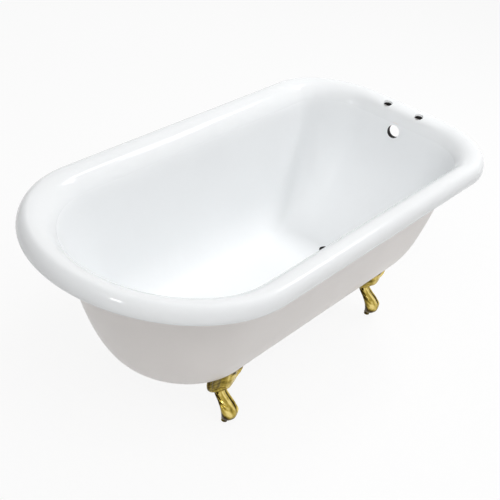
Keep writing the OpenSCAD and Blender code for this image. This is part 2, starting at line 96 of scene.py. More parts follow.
class TubSizes(bpy.types.PropertyGroup):
    """Sizes of the casting, in metres."""
    length: bpy.props.FloatProperty(
        name="Length", description="Length over the rolled rim", unit="LENGTH",
        default=TUB_HIGH[0] - TUB_LOW[0])
    width: bpy.props.FloatProperty(
        name="Width", description="Width over the rolled rim", unit="LENGTH",
        default=TUB_HIGH[1] - TUB_LOW[1])
    height: bpy.props.FloatProperty(
        name="Height", description="Height of the rim's crown above the floor", unit="LENGTH",
        default=TUB_HIGH[2])
    corner_radius: bpy.props.FloatProperty(
        name="Corner radius", description="Radius of the rim's corners at the flat end", unit="LENGTH",
        default=0.258)
    wall: bpy.props.FloatProperty(
        name="Wall", description="Thickness of the iron", unit="LENGTH", default=0.007)
    roll_width: bpy.props.FloatProperty(
        name="Roll width", description="Width of the roll outside its crown", unit="LENGTH", default=0.026)
    roll_drop: bpy.props.FloatProperty(
        name="Roll drop", description="Drop from the crown to the roll's widest place", unit="LENGTH",
        default=0.037)
    lip_drop: bpy.props.FloatProperty(
        name="Lip drop", description="Drop from the crown to the lip's lower edge", unit="LENGTH",
        default=0.048)
    lip_tuck: bpy.props.FloatProperty(
        name="Lip tuck", description="Distance that the lip's lower edge curls back in", unit="LENGTH",
        default=0.006)
    shoulder_width: bpy.props.FloatProperty(
        name="Shoulder width", description="Width from the crown to the basin's wall", unit="LENGTH",
        default=0.060)
    shoulder_depth: bpy.props.FloatProperty(
        name="Shoulder depth", description="Depth over which the shoulder turns down", unit="LENGTH",
        default=0.070)
    ledge_fill: bpy.props.FloatProperty(
        name="Tap ledge", description="Share by which the shoulder is filled out at the tap holes",
        default=0.6)
    basin_depth: bpy.props.FloatProperty(
        name="Basin depth", description="Depth from the crown to the floor at the drain", unit="LENGTH",
        default=0.448)
    floor_fall: bpy.props.FloatProperty(
        name="Floor fall", description="Slope of the floor towards the drain", default=0.008)
    back_curve: bpy.props.FloatVectorProperty(
        name="Back curve", description="Lean, then the run and the rise of the back rest's lower curve",
        size=3, default=(0.472, 0.037, 0.216))
    end_curve: bpy.props.FloatVectorProperty(
        name="End curve", description="Lean, then the run and the rise of the flat end's lower curve",
        size=3, default=(0.085, 0.212, 0.282))
    side_curve: bpy.props.FloatVectorProperty(
        name="Side curve", description="Lean, then the run and the rise of a side wall's lower curve",
        size=3, default=(0.175, 0.055, 0.113))
    floor_corner: bpy.props.FloatProperty(
        name="Floor corner", description="Radius of the floor's corners at the flat end", unit="LENGTH",
        default=0.088)
    drain_place: bpy.props.FloatVectorProperty(
        name="Drain", description="Distance in from the flat end, radius and boss radius",
        size=3, unit="LENGTH", default=(0.354, 0.026, 0.039))
    overflow_place: bpy.props.FloatVectorProperty(
        name="Overflow", description="Depth below the crown, radius and boss radius",
        size=3, unit="LENGTH", default=(0.077, 0.022, 0.031))
    tap_place: bpy.props.FloatVectorProperty(
        name="Tap holes", description="Distance in from the flat end, radius and half the spacing",
        size=3, unit="LENGTH", default=(0.058, 0.014, 0.060))


class FootSizes(bpy.types.PropertyGroup):
    """Sizes of the claw feet and their fittings, in metres."""
    leg: bpy.props.FloatVectorProperty(
        name="Leg", description="Width along the tub and thickness across it, at the knee", unit="LENGTH",
        size=2, default=(0.058, 0.046))
    wing: bpy.props.FloatVectorProperty(
        name="Wings", description="Span along the tub and thickness across it", unit="LENGTH",
        size=2, default=(0.172, 0.036))
    sweep: bpy.props.FloatProperty(
        name="Sweep", description="Distance by which the knee stands out past the neck", unit="LENGTH",
        default=0.046)
    curl: bpy.props.FloatProperty(
        name="Curl", description="Distance by which the wings' tips curl in", unit="LENGTH", default=0.005)
    tap_wing: bpy.props.FloatVectorProperty(
        name="Tap wings", description="Distances by which the tap feet's wings stand out and turn out",
        unit="LENGTH", size=2, default=(0.007, 0.005))
    wing_form: bpy.props.FloatVectorProperty(
        name="Wing form", description="Distance that the neck stands out, and depth of the hollow beside it",
        unit="LENGTH", size=2, default=(0.004, 0.008))
    relief: bpy.props.FloatProperty(
        name="Relief", description="Depth of the carving", unit="LENGTH", default=0.003)
    seat_gap: bpy.props.FloatProperty(
        name="Seat gap", description="Gap below the tub's underside", unit="LENGTH", default=0.0006)
    bore: bpy.props.FloatVectorProperty(
        name="Bore", description="Radius and top of the levelling screw's bore", unit="LENGTH",
        size=2, default=(0.00605, 0.052))
    shelf: bpy.props.FloatVectorProperty(
        name="Shelf", description="Half width, thickness and hole radius of the shelf for the stud",
        unit="LENGTH", size=3, default=(0.018, 0.012, 0.0055))
    thread: bpy.props.FloatVectorProperty(
        name="Threads", description="Pitch and depth of the screw threads", unit="LENGTH",
        size=2, default=(0.0015, 0.0007))


class TubFinishes(bpy.types.PropertyGroup):
    """Colours of the finishes, as linear values."""
    enamel: bpy.props.FloatVectorProperty(
        name="Enamel", description="White vitreous enamel", subtype="COLOR", size=3,
        default=(0.900, 0.915, 0.925))
    paint: bpy.props.FloatVectorProperty(
        name="Outside paint", description="Warm off-white paint", subtype="COLOR", size=3,
        default=(0.87, 0.832, 0.806))
    # Bare iron, near black so that it also paints the shade in the holes and under the roll
    bare_iron_and_shade: bpy.props.FloatVectorProperty(
        name="Bare iron", description="Dark iron in the holes and inside the roll", subtype="COLOR", size=3,
        default=(0.016, 0.015, 0.015))
    # Also the colour of the feet's painted highlights
    rubbed_and_highlit_brass: bpy.props.FloatVectorProperty(
        name="Rubbed brass", description="Brass where hands keep it bright", subtype="COLOR", size=3,
        default=(0.80, 0.64, 0.23))
    brass: bpy.props.FloatVectorProperty(
        name="Brass", description="Old brass of the feet", subtype="COLOR", size=3,
        default=(0.42, 0.31, 0.058))
    # Also the colour of the feet's painted shade
    patina_and_shade: bpy.props.FloatVectorProperty(
        name="Patina", description="Dark brown that stays in the brass's hollows", subtype="COLOR", size=3,
        default=(0.035, 0.020, 0.003))
    steel: bpy.props.FloatVectorProperty(
        name="Steel", description="Zinc-plated studs, washers and nuts", subtype="COLOR", size=3,
        default=(0.52, 0.53, 0.55))


class StudioSizes(bpy.types.PropertyGroup):
    """Camera and lamps. Distances are from the crown of the rim's middle."""
    camera_turn: bpy.props.FloatVectorProperty(
        name="Camera turn", description="Azimuth, elevation and roll of the camera", subtype="EULER", size=3,
        default=(math.radians(-60.283), math.radians(30.57), math.radians(12.379)))
    camera_place: bpy.props.FloatVectorProperty(
        name="Camera place",
        description="Right, up and back from the rim's middle, in the axes of the camera before its roll",
        unit="LENGTH", size=3, default=(-0.012, -0.225, 3.31))
    lens: bpy.props.FloatProperty(
        name="Lens", description="Focal length in millimetres", default=84.31)
    window_light: bpy.props.FloatProperty(
        name="Window light", description="Strength of the lamp beyond the flat end, in watts", default=34.0)
    ceiling_light: bpy.props.FloatProperty(
        name="Ceiling light", description="Strength of the lamp overhead, in watts", default=9.5)
    near_light: bpy.props.FloatVectorProperty(
        name="Near lights", description="Strengths of the near side's lamps, from back to tap end, in watts",
        size=3, default=(43.0, 19.0, 13.0))
    glint_light: bpy.props.FloatVectorProperty(
        name="Glints", description="Strengths of the lamps that only gloss shows, high and low beyond the "
        "flat end and behind the round end, in watts", size=3, default=(18.0, 26.0, 90.0))
    sky_light: bpy.props.FloatProperty(
        name="Sky light", description="Strength of the light from all round", default=0.31)


# Shapes of the casting

def smooth_step(v):
    """c^2 (3 - 2c), where c is v held between 0 and 1."""
    c = np.clip(v, 0.0, 1.0)
    return c*c*(3.0 - 2.0*c)


def quarter_curve(v):
    """1 - sqrt(1 - c^2), where c is v held between 0 and 1: level at the far end of a quarter ellipse."""
    c = np.clip(v, 0.0, 1.0)
    return 1.0 - np.sqrt(1.0 - c*c)


def shoulder_share(v):
    """sqrt(1 - (1 - c)^3), where c is v/1.4 held between 0 and 1: the shoulder's width covered at that depth.
    It ends with no bend left, so no edge shows where it meets the wall."""
    c = np.clip(v/1.4, 0.0, 1.0)
    return np.sqrt(1.0 - (1.0 - c)**3)


def wall_levels(s, depth, skin):
    """Plans of the basin's wall, one row for each depth: insets at the back, flat end and sides, corner
    radius, depth and skin. Inset = roll + (shoulder - skin) share + lean depth + (run + skin) curve."""
    shoulder = (s.shoulder_width - skin)*shoulder_share((depth - skin)/(s.shoulder_depth - skin))
    insets = []
    for lean, run, rise in (s.back_curve, s.end_curve, s.side_curve):
        low = quarter_curve((depth - (s.basin_depth + skin - rise))/rise)
        insets.append(s.roll_width + shoulder + lean*depth + (run + skin)*low)
    share = depth/(s.basin_depth + skin)
    corner = (s.corner_radius - s.roll_width - shoulder)*(1.0 - share) + s.floor_corner*share
    return np.stack(insets + [corner, depth, np.full_like(depth, skin)], axis=1)


def roll_levels(s, inset, depth):
    """Plans of the roll, one row for each point of its profile: one inset all round."""
    return np.stack([inset, inset, inset, s.corner_radius - inset, depth, depth], axis=1)


def level_points(s, levels, ring=(144, 16, 40, 24)):
    """Points (levels, ring, 3) of stacked plans: a semicircle, a side, a quarter circle, the flat end, a
    quarter circle and a side. Height = crown - depth + tap ledge + floor's fall."""
    back_in, end_in, side_in, r, depth, skin = (levels[:, [k]] for k in range(6))
    half = s.width/2 - side_in
    xb = -s.length/2 + back_in + half
    xe = s.length/2 - end_in
    xf = xe - r
    ye = half - r
    turn = np.pi/2 + np.pi*np.arange(ring[0] + 1)/ring[0]
    along = np.arange(1, ring[1] + 1)/(ring[1] + 1)
    quarter = np.pi/2*np.arange(ring[2] + 1)/ring[2]
    across = np.arange(1, ring[3] + 1)/(ring[3] + 1)
    one = np.ones_like
    x = np.concatenate([
        xb + half*np.cos(turn), xb + (xf - xb)*along, xf + r*np.sin(quarter), xe*one(across),
        xf + r*np.cos(quarter), xf + (xb - xf)*along], axis=1)
    y = np.concatenate([
        half*np.sin(turn), -half*one(along), -ye - r*np.cos(quarter), ye*(2.0*across - 1.0),
        ye + r*np.sin(quarter), half*one(along)], axis=1)
    front, before, sideways = LEDGE_SLOPES
    ledge = (s.ledge_fill*smooth_step((x - (s.length/2 - s.roll_width - s.shoulder_width - front))/front)
             * (1.0 - smooth_step((np.abs(y) - (s.width/2 - s.corner_radius) + before)/sideways)))
    drop = depth - skin
    fill = ledge*drop*np.maximum(0.0, 1.0 - drop/(s.shoulder_depth - skin))
    fall = s.floor_fall*(s.length/2 - s.drain_place[0] - x)*(depth/s.basin_depth)**2
    return np.stack([x, y, s.height - depth + fill + fall], axis=2)


def casting_profile(s):
    """Levels of the whole casting from the underside, up the outside, round the roll and down the basin, and
    the material slot of each."""
    w, deep = s.wall, s.basin_depth
    rise = s.side_curve[2]
    quarter = np.radians(np.linspace(90.0, 0.0, 34))
    outside_low = deep + w - rise*(1.0 - np.sin(quarter))
    outside = np.linspace(outside_low[-1], s.shoulder_depth, 44)[1:]
    under_shoulder = w + (s.shoulder_depth - w)*(1.0 - np.cos(np.radians(np.linspace(86.0, 6.0, 18))))
    bore = np.radians(np.linspace(0.0, 90.0, 16))
    bore_inset = s.roll_width - (s.roll_width - w)*np.sin(bore)
    bore_depth = w + (s.roll_drop - w)*(1.0 - np.cos(bore))
    edge = np.radians(np.linspace(0.0, 90.0, 5))
    lip_inset = np.concatenate([
        s.lip_tuck + w - LIP_ROUND*(1.0 - np.cos(edge)), s.lip_tuck*(1.0 - np.cos(edge[::-1]))])
    lip_depth = np.concatenate([
        s.lip_drop - LIP_ROUND + LIP_ROUND*np.sin(edge),
        s.roll_drop + (s.lip_drop - s.roll_drop)*np.sin(edge[::-1])])
    crown = np.radians(np.linspace(84.0, 0.0, 20))
    crown_inset = s.roll_width*(1.0 - np.sin(crown))
    crown_depth = s.roll_drop*(1.0 - np.cos(crown))
    shoulder = s.shoulder_depth*(1.0 - np.cos(np.radians(np.linspace(4.0, 86.0, 26))))
    inside_low = deep - rise*(1.0 - np.sin(quarter[::-1]))
    inside = np.linspace(s.shoulder_depth, inside_low[0], 48)[:-1]
    parts = [
        (wall_levels(s, outside_low, w), PAINT), (wall_levels(s, outside, w), PAINT),
        (wall_levels(s, under_shoulder, w), PAINT), (roll_levels(s, bore_inset, bore_depth), BARE_IRON_AND_SHADE),
        (roll_levels(s, lip_inset, lip_depth), ENAMEL), (roll_levels(s, crown_inset, crown_depth), ENAMEL),
        (wall_levels(s, shoulder, 0.0), ENAMEL), (wall_levels(s, inside, 0.0), ENAMEL),
        (wall_levels(s, inside_low, 0.0), ENAMEL)]
    levels = np.concatenate([part for part, _ in parts])
    slots = np.concatenate([np.full(len(part), slot) for part, slot in parts])
    return levels, slots


def under_height(s, x, y):
    """Height of the casting's outer surface above each place, found by halving the range of depths."""
    shape = x.shape
    x, y = x.ravel(), np.abs(y.ravel())
    low = np.full_like(x, s.shoulder_depth)
    high = np.full_like(x, s.basin_depth + s.wall)
    for _ in range(22):
        depth = (low + high)/2.0
        back_in, end_in, side_in, r = wall_levels(s, depth, s.wall).T[:4]
        half = s.width/2 - side_in
        xb, xe = -s.length/2 + back_in + half, s.length/2 - end_in
        xf, ye = xe - r, half - r
        inside = np.where(
            x < xb, np.hypot(x - xb, y) < half,
            np.where((x > xf) & (y > ye), np.hypot(x - xf, y - ye) < r, (x < xe) & (y < half)))
        low, high = np.where(inside, depth, low), np.where(inside, high, depth)
    fall = s.floor_fall*(s.length/2 - s.drain_place[0] - x)*(depth/s.basin_depth)**2
    return (s.height - depth + fall).reshape(shape)


# Shapes of the feet and fittings

def spline_at(rows, t):
    """Catmull-Rom curve through evenly spaced rows: b + f ((c - a)/2 + f (a - 2.5 b + 2 c - d/2 + f ...))."""
    last = len(rows) - 1
    q = np.clip(t, 0.0, 0.99999)*last
    i = q.astype(int)
    f = (q - i)[:, None]
    a, b, c, d = rows[np.maximum(i - 1, 0)], rows[i], rows[i + 1], rows[np.minimum(i + 2, last)]
    return b + f*((c - a)/2 + f*((a - 2.5*b + 2*c - d/2) + f*((d - a)/2 + 1.5*(b - c))))


def foot_rows(z):
    """The foot's sections from its sole to its wings: share of the height, place out from the screw, half
    width, half thickness, share of the seat's shape, and roundness from 1 for an ellipse to 0 for a box."""
    (w, d), (span, thick), sweep = z.leg, z.wing, z.sweep
    return np.array([
        (0.000, 0.05*sweep, 0.20*w, 0.24*d, 0.0, 1.0),
        (0.046, 0.17*sweep, 0.33*w, 0.35*d, 0.0, 1.0),
        (0.122, 0.24*sweep, 0.43*w, 0.44*d, 0.0, 1.0),
        (0.224, 0.18*sweep, 0.48*w, 0.49*d, 0.0, 1.0),
        (0.327, -0.06*sweep, 0.46*w, 0.46*d, 0.0, 1.0),
        (0.429, -0.47*sweep, 0.43*w, 0.42*d, 0.0, 1.0),
        (0.517, -0.75*sweep, 0.39*w, 0.36*d, 0.0, 1.0),
        (0.600, -0.82*sweep, 0.35*w, 0.33*d, 0.0, 1.0),
        (0.640, -0.70*sweep, 0.16*span, 0.40*thick, 0.0, 0.95),
        (0.680, -0.59*sweep, 0.29*span, 0.44*thick, 0.0, 0.9),
        (0.748, -0.52*sweep, 0.39*span, 0.44*thick, 0.05, 0.85),
        (0.830, -0.49*sweep, 0.45*span, 0.44*thick, 0.25, 0.85),
        (0.925, -0.48*sweep, 0.485*span, 0.44*thick, 0.65, 0.85),
        (1.000, -0.48*sweep, 0.49*span, 0.44*thick, 1.0, 0.85)])


def bell(v, width):
    """exp(-(v/width)^2)."""
    return np.exp(-(v/width)**2)


def band(v, low, high, blur):
    """1 between low and high, with smooth steps of the given width outside them."""
    return smooth_step((v - low + blur)/blur)*(1.0 - smooth_step((v - high)/blur))


def spot(s, v, at, size):
    """A round bell of height 1 at (degrees, height share), with the given sizes in degrees and in height
    share."""
    return bell(np.hypot((s - at[0])/size[0], (v - at[1])/size[1]), 1.0)


# Pits in the wings, by degrees from straight out and height share
WING_PITS = ((5.0, 0.942), (14.0, 0.928), (40.0, 0.838), (54.0, 0.870), (66.0, 0.925), (-58.0, 0.935))


def crest(v):
    """Degrees from straight out of the thin bright ridge, which crosses the front as it climbs."""
    return -3.0 - 62.0*(v - 0.30)


# Folds and patches of a leg: place in degrees and height share, sizes in the same, and height or darkness
LEG_FOLDS = (
    ((62.0, 0.33), (26.0, 0.020), -0.32), ((88.0, 0.40), (30.0, 0.018), -0.28),
    ((74.0, 0.455), (26.0, 0.016), -0.30), ((66.0, 0.415), (20.0, 0.018), 0.22),
    ((42.0, 0.245), (16.0, 0.045), 0.35), ((80.0, 0.19), (24.0, 0.025), -0.25))
# Darkness of the leg's patches: patina in the folds and the eye, a rubbed knob, painted shade below the knob,
# a painted highlight below the eye, and other darker and lighter patches, most towards the leg's back
LEG_PATINA_AND_LIGHT = (
    ((42.0, 0.235), (22.0, 0.055), -0.34), ((88.0, 0.13), (30.0, 0.05), 0.38),
    ((60.0, 0.320), (26.0, 0.024), 0.34), ((70.0, 0.468), (20.0, 0.026), 0.50),
    ((62.0, 0.425), (24.0, 0.022), -0.26), ((66.0, 0.540), (13.0, 0.022), 0.80),
    ((40.0, 0.50), (16.0, 0.045), -0.10), ((98.0, 0.40), (20.0, 0.045), 0.25),
    ((50.0, 0.375), (18.0, 0.020), 0.22), ((34.0, 0.40), (9.0, 0.05), 0.14),
    ((86.0, 0.27), (16.0, 0.03), 0.22))


def leaves(far, v, table):
    """Sum of sloping oval bells, one for each row of a table, which rise towards the back of the leg."""
    return sum(
        height*bell(np.hypot((far - at[0])/size[0], (v - at[1] - 0.0011*(far - at[0]))/size[1]), 1.0)
        for at, size, height in table)


def leg_carving(s, v):
    """Relief of the leg at s degrees from straight out and height share v, in units of the carving's depth: a
    thin ridge down the front, a deep groove that ends in a pit beside it and a shallow one across from it, a
    leaf's edge and soft folds on the flanks, a knob in front of the knee, an eye in a ring, and the collar's
    bands."""
    far = np.abs(s)
    body = smooth_step((v - 0.16)/0.1)*(1.0 - smooth_step((v - 0.5)/0.08))
    depth = np.where(s > 0.0, 1.0, 0.3)
    cut = body*(0.5*bell(s, 8.0) - depth*bell(far - 22.0, 6.5) + 0.6*bell(far - 44.0, 11.0))
    cut += 0.45*band(v, 0.31, 0.52, 0.04)*bell(s - crest(v), 4.0)
    cut -= 0.9*spot(far, v, (23.0, 0.285), (7.0, 0.022))*depth
    cut += leaves(far, v, LEG_FOLDS)
    eye = np.hypot((v - 0.548)*147.0, (far - 64.0)*0.33)
    cut += -1.2*bell(eye, 3.0) + 0.40*bell(eye - 5.6, 1.6)
    cut += band(v, 0.580, 0.615, 0.015)*0.4
    cut -= 0.8*band(v, 0.40, 0.50, 0.07)*smooth_step((far - 45.0)/30.0)
    return cut + 0.07*band(v, 0.08, 0.17, 0.05)*np.cos(np.radians(8.0*s))


def wing_carving(s, v):
    """Relief of the wings: three rolls up each flank of the neck, a hollow band below the tub, and pits near
    the tips."""
    far = np.abs(s)
    front = 1.0 - smooth_step((far - 88.0)/20.0)
    flank = front*band(far, 20.0, 78.0, 12.0)
    cut = sum(0.30*flank*bell(v - at, 0.013) for at in (0.672, 0.724, 0.776))
    cut -= 0.25*front*band(far, 14.0, 84.0, 10.0)*band(v, 0.875, 0.955, 0.02)
    for at in WING_PITS:
        cut -= 0.6*spot(s, v, at, (5.0, 0.016))
    return cut


def brass_patina_and_painted_light(s, v, cut):
    """How dark the brass is, from 0 where it is brightest to 1 where it is darkest. Patina darkens the
    hollows and the pits near the wings' tips, and the ridge, knob and rolls are rubbed bright. Painted shade
    darkens the knob's underside, the top under the tub and the wings at negative angles with their tip there;
    painted highlights brighten the rolls on that side and a spot below the eye; the leg's back is darker."""
    far = np.abs(s)
    leg = 1.0 - smooth_step((v - 0.60)/0.04)
    tone = 0.36 + 0.55*np.clip(-cut - 0.12, 0.0, 1.0)**0.7 - 0.30*np.clip(cut, 0.0, 1.0)
    # Painted shade: darker towards the sole, under the knob
    tone += 0.50*(1.0 - smooth_step((v - 0.085 - 0.0006*far)/0.075))
    # Darker towards the leg's back
    tone += 0.30*leg*smooth_step((far - 84.0)/26.0)
    tone += band(v, 0.29, 0.55, 0.04)*bell(s - 24.0, 7.0)*(0.15 + 0.6*(1.0 - smooth_step((v - 0.31)/0.16)))
    tone -= 0.55*band(v, 0.31, 0.53, 0.04)*bell(s - crest(v), 5.0)
    tone += leaves(far, v, LEG_PATINA_AND_LIGHT)
    wing = smooth_step((v - 0.66)/0.05)
    # Painted shade over the wings at negative angles, painted light over their front at positive angles
    tone += wing*(0.26*smooth_step((-s - 8.0)/14.0) - 0.16*band(s, -4.0, 60.0, 12.0))
    # Two darker patches on the wings at negative angles
    tone += 0.24*spot(s, v, (-10.0, 0.852), (9.0, 0.020)) + 0.28*spot(s, v, (-70.0, 0.826), (16.0, 0.016))
    # Painted shade at the tip at negative angles; painted highlights on that side's rolls and hollow band
    tone += 0.22*wing*bell(s + 84.0, 10.0) - 0.22*wing*band(s, -78.0, -16.0, 10.0)*sum(
        bell(v - at, 0.011) for at in (0.672, 0.724, 0.776, 0.915))
    # Painted shade along the top, under the tub
    tone += 0.15*wing*band(v, 0.975, 1.01, 0.02)
    for at in WING_PITS:
        tone += 0.7*spot(s, v, at, (6.0, 0.018))
    return np.clip(tone, 0.0, 1.0)


def neck_and_dish(z, s, v):
    """How far the neck stands out in front of the wings, less the hollow between it and each wing's tip."""
    far = np.abs(s)
    neck = z.wing_form[0]*bell(s, 11.0)*smooth_step((v - 0.6)/0.06)*(1.0 - smooth_step((v - 0.84)/0.12))
    dish = smooth_step((v - 0.69)/0.07)*smooth_step((far - 12.0)/12.0)*(1.0 - smooth_step((far - 48.0)/18.0))
    return neck - z.wing_form[1]*dish


def foot_rings(s, z, place, side, around=200, up=210):
    """Rings of one foot from the top of its screw's bore, round the sole, up the leg and wings and over the
    seat, with how dark each point is. Place is the screw's axis and side is 1 for +Y."""
    q = 2.0*np.pi*np.arange(around)/around
    a = q - FRONT_CROWDING*np.sin(q)
    t = np.concatenate([np.linspace(0.0, 1.0, up), np.ones(len(SEAT_CLOSING))])
    shrink = np.concatenate([np.ones(up), SEAT_CLOSING])[:, None]
    share, out, half_w, half_d, seat, roundness = (column[:, None] for column in spline_at(foot_rows(z), t).T)
    degrees = np.degrees(np.where(a > np.pi, a - 2.0*np.pi, a))[None, :]
    cut = z.relief*(leg_carving(degrees, share) + wing_carving(degrees, share))
    across = np.sign(np.cos(a))*np.abs(np.cos(a))**roundness
    along = np.sign(np.sin(a))*np.abs(np.sin(a))**roundness*shrink
    wing = smooth_step((share - 0.6)/0.15)
    spread = z.tap_wing[0] + z.tap_wing[1]*along if place[0] > 0.0 else 0.0
    curl = wing*(z.curl*along**2 - spread)
    x = place[0] + (half_w + cut)*along
    y = side*(abs(place[1]) + out + ((half_d + cut)*across + neck_and_dish(z, degrees, share))*shrink - curl)
    sole = SOLE_HEIGHT
    rise = s.height - s.basin_depth - s.wall + SEAT_RISE - sole
    seat = np.clip(seat, 0.0, 1.0)
    height = (1.0 - seat)*(sole + rise*share) + seat*(under_height(s, x, y) - z.seat_gap - rise*(1.0 - share))
    rings = np.stack([x, y, height], axis=2)
    radius, bore_top = z.bore
    mouth = [(radius*0.03, bore_top), (radius, bore_top), (radius, sole + 0.0008), (radius + 0.0008, sole)]
    bore = np.array([
        np.stack([place[0] + r*np.sin(a), side*(abs(place[1]) + r*np.cos(a)), np.full(around, h)], axis=1)
        for r, h in mouth])
    tone = np.concatenate([np.ones((len(mouth), around)), brass_patina_and_painted_light(degrees, share, cut/z.relief)])
    rings = np.concatenate([bore, rings])
    return (rings, tone) if side < 0 else (rings[:, ::-1], tone[:, ::-1])


def closed_loft(rings, caps=CAP_SHARES):
    """Vertices and faces of stacked rings (levels, points, 3), anticlockwise seen from above where the
    surface goes up its outside. The first and last rings close on their middles through smaller copies."""
    low_middle, high_middle = rings[0].mean(axis=0), rings[-1].mean(axis=0)
    low = [low_middle + (rings[0] - low_middle)*k for k in caps]
    high = [high_middle + (rings[-1] - high_middle)*k for k in caps[::-1]]
    shape = (-1,) + rings[0].shape
    points = np.concatenate([np.reshape(low, shape), rings, np.reshape(high, shape)])
    m, n = points.shape[:2]
    k, i = np.meshgrid(np.arange(m - 1), np.arange(n), indexing="ij")
    a, b = k*n + i, k*n + (i + 1) % n
    quads = np.stack([a, b, b + n, a + n], axis=-1).reshape(-1, 4)
    j = np.arange(n)
    top = (m - 1)*n
    fans = np.concatenate([
        np.stack([(j + 1) % n, j, np.full(n, m*n)], axis=1),
        np.stack([top + j, top + (j + 1) % n, np.full(n, m*n + 1)], axis=1)])
    verts = np.concatenate([points.reshape(-1, 3), [low_middle, high_middle]])
    return verts, quads, fans


def closed_ring(rings):
    """Vertices and faces of a ring-shaped solid: the last ring of points joins the first."""
    m, n = rings.shape[:2]
    k, i = np.meshgrid(np.arange(m), np.arange(n), indexing="ij")
    a, b = k*n + i, k*n + (i + 1) % n
    c, d = (k + 1) % m*n + (i + 1) % n, (k + 1) % m*n + i
    return rings.reshape(-1, 3), np.stack([a, b, c, d], axis=-1).reshape(-1, 4)


def shelf_rings(z, place, side, stud_y, top, n=96):
    """Rings of the shelf: round the stud's hole, over the chamfered edge of its rounded outline, and back."""
    half, thick, hole = z.shelf
    q = 2.0*np.pi*np.arange(n)/n
    reach = abs(place[1]) - 0.6*z.sweep - stud_y
    stretch = np.where(np.cos(q) > 0.0, 1.0, 0.0)*reach
    def ring(r, h, outline):
        x = place[0] + r*np.sin(q)
        y = stud_y + r*np.cos(q) + (stretch if outline else 0.0)
        return np.stack([x, side*y, np.full(n, h)], axis=1)
    low, c = top - thick, 0.0012
    rings = np.array([
        ring(hole, low + c/2, False), ring(hole + c/2, low, False),
        ring(half - c, low, True), ring(half, low + c, True),
        ring(half, top - c, True), ring(half - c, top, True),
        ring(hole + c/2, top, False), ring(hole, top - c/2, False)])
    return rings if side < 0 else rings[:, ::-1]


def thread(angle, height, pitch, depth):
    """Inward cut of a screw thread: a rounded V that climbs one pitch for each turn."""
    phase = (height/pitch - angle/(2.0*np.pi)) % 1.0
    return depth*smooth_step(1.0 - np.abs(2.0*phase - 1.0)*1.15)


def screw_rings(z, radius, low, high, place, n=56, plain=()):
    """Rings of a threaded rod between two heights, with chamfered ends, above plain (radius, height)
    circles."""
    pitch, depth = z.thread
    angle = 2.0*np.pi*np.arange(n)/n
    rings_each_turn, chamfer, chamfer_depth = 7.0, 0.001, 0.0009
    height = np.append(np.arange(low, high, pitch/rings_each_turn), high)
    ends = np.minimum(1.0, np.minimum(height - low, high - height)/chamfer)
    cut = thread(angle, height[:, None], pitch, depth)
    rod = radius - np.maximum(cut, chamfer_depth*(1.0 - ends[:, None]))
    heights = np.concatenate([[h for _, h in plain], height])
    radii = np.concatenate([np.outer([r for r, _ in plain], np.ones(n)).reshape(-1, n), rod])
    return np.stack([
        place[0] + radii*np.cos(angle), place[1] + radii*np.sin(angle), heights[:, None] + 0.0*angle], axis=2)


def nut_rings(flats, bore, low, high, place, n=120):
    """Rings of a hexagon nut whose corners are turned off by a 30-degree cone, with a chamfered bore."""
    angle = 2.0*np.pi*np.arange(n)/n
    hexagon = flats/2.0/np.cos((angle % (np.pi/3.0)) - np.pi/6.0)
    drop = np.array([0.0, 0.0004, 0.0008, 0.0012])
    cone = flats/2.0 - 0.0004 + drop*1.75
    outside = [(np.minimum(hexagon, c), low + d) for c, d in zip(cone, drop)]
    outside += [(np.minimum(hexagon, c), high - d) for c, d in zip(cone[::-1], drop[::-1])]
    inside = [(bore + 0.0*angle + e, h) for e, h in (
        (0.0005, high), (0.0, high - 0.0005), (0.0, low + 0.0005), (0.0005, low))]
    return np.array([
        np.stack([place[0] + r*np.cos(angle), place[1] + r*np.sin(angle), np.full(n, h)], axis=1)
        for r, h in outside + inside])


def washer_rings(bore, box, place, n=72):
    """Rings of a flat washer with slightly rounded edges."""
    angle = 2.0*np.pi*np.arange(n)/n
    outer, low, high, e = (box[1][0] - box[0][0])/2, box[0][2], box[1][2], 0.0003
    inner = bore + ROD_GAP
    section = [(outer - e, low), (outer, low + e), (outer, high - e), (outer - e, high),
               (inner + e, high), (inner, high - e), (inner, low + e), (inner + e, low)]
    return np.array([
        np.stack([place[0] + r*np.cos(angle), place[1] + r*np.sin(angle), np.full(n, h)], axis=1)
        for r, h in section])


# Making pieces

def middle(node):
    """The middle of a node's box."""
    low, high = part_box(node)
    return [(a + b)/2 for a, b in zip(low, high)]


def add_fitting(kind, corner, solid, material, body):
    """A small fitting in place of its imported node, with sharp edges where it is machined."""
    name = kind + "_" + corner
    piece = new_piece("dressed_" + name, solid[0], solid[1:], (material,))
    piece.data.set_sharp_from_angle(angle=FITTING_EDGE)
    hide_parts(name)
    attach(piece, body)


def new_piece(name, verts, face_sets, materials=(), indices=None):
    """A mesh object at the origin from arrays of faces, with smooth shading."""
    mesh = bpy.data.meshes.new(name)
    faces = [f for part in face_sets for f in part.tolist()]
    mesh.from_pydata(verts.tolist(), [], faces)
    for material in materials:
        mesh.materials.append(material)
    if indices is not None:
        mesh.polygons.foreach_set("material_index", indices.astype(np.int32))
    mesh.polygons.foreach_set("use_smooth", np.ones(len(mesh.polygons), dtype=bool))
    mesh.update()
    piece = bpy.data.objects.new(name, mesh)
    bpy.context.scene.collection.objects.link(piece)
    return piece


def turned(name, radius, height, place, axis="Z", n=72, materials=(), slot=0):
    """A closed turned shape: circles of the given radii at the given heights along the axis, from bottom to
    top."""
    angle = 2.0*np.pi*np.arange(n)/n
    r, h = np.asarray(radius)[:, None], np.asarray(height)[:, None]
    rings = np.stack([r*np.cos(angle), r*np.sin(angle), h + 0.0*angle], axis=2)
    if axis == "X":
        rings = rings[:, :, [2, 0, 1]]
    rings = rings + np.asarray(place)
    verts, quads, fans = closed_loft(rings)
    return new_piece(name, verts, (quads, fans), materials, np.full(len(quads) + len(fans), slot))


